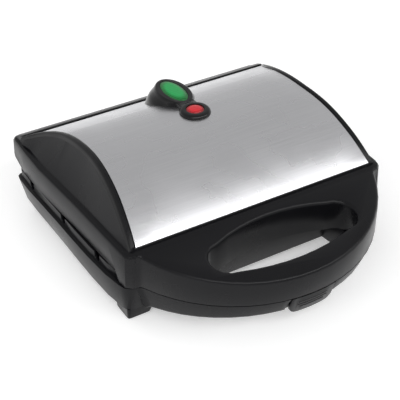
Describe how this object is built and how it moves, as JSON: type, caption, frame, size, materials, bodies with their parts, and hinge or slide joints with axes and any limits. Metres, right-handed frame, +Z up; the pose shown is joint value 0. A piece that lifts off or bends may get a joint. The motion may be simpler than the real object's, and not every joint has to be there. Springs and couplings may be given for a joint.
{
  "type": "corn dog maker",
  "caption": "Countertop corn dog cooker: hinged lid with an arched steel cover, cavity plates, and a bow handle with a latch.",
  "frame": {"origin": "middle of the overall box, at the level that the pads stand on", "axes": "+X to the right as seen from the handle's side, +Y from the handle towards the hinge, +Z up"},
  "size_m": [0.2394, 0.2521, 0.0939],
  "materials": {
    "black_plastic": "semi-gloss, fine moulded texture",
    "bezel_black": "gloss",
    "brushed_steel": "brushed from side to side",
    "green_lens": "clear tinted, polished",
    "red_lens": "clear tinted, polished",
    "plate_coating": "cast, with a black non-stick coating",
    "heater_steel": "dull, browned by heat",
    "shield_tin": "rolled sheet",
    "pin_steel": "zinc plated",
    "pad_rubber": "matt",
    "block_ceramic": "unglazed",
    "lamp_glass": "clear"
  },
  "bodies": {
    "base": {"base_housing": "black_plastic", "lower_plate": "plate_coating", "lower_plate_screw_1": "pin_steel", "lower_plate_screw_2": "pin_steel", "lower_plate_screw_3": "pin_steel", "lower_plate_screw_4": "pin_steel", "lower_heater": "heater_steel", "lower_heat_shield": "shield_tin", "thermostat": "shield_tin", "terminal_block": "block_ceramic", "cord_gland": "pad_rubber", "pad_front_left": "pad_rubber", "pad_front_right": "pad_rubber", "pad_rear_left": "pad_rubber", "pad_rear_right": "pad_rubber", "hinge_pin_left": "pin_steel", "hinge_pin_right": "pin_steel"},
    "lid": {"lid_housing": "black_plastic", "steel_cover": "brushed_steel", "indicator_bezel": "bezel_black", "green_lens": "green_lens", "red_lens": "red_lens", "green_lamp": "lamp_glass", "red_lamp": "lamp_glass", "upper_plate": "plate_coating", "upper_plate_screw_1": "pin_steel", "upper_plate_screw_2": "pin_steel", "upper_plate_screw_3": "pin_steel", "upper_plate_screw_4": "pin_steel", "upper_heater": "heater_steel", "upper_heat_shield": "shield_tin", "thermal_fuse": "shield_tin", "latch_pin": "pin_steel"},
    "latch": {"latch_clip": "black_plastic"}
  },
  "joints": [
    {"name": "lid_hinge", "type": "hinge", "parent": "base", "child": "lid", "pos_m": [0, 0.118, 0.04], "axis": [-1, 0, 0], "range_deg": [0, 100]},
    {"name": "latch_hinge", "type": "hinge", "parent": "lid", "child": "latch", "pos_m": [0, -0.119, 0.038], "axis": [-1, 0, 0], "range_deg": [0, 30]}
  ]
}
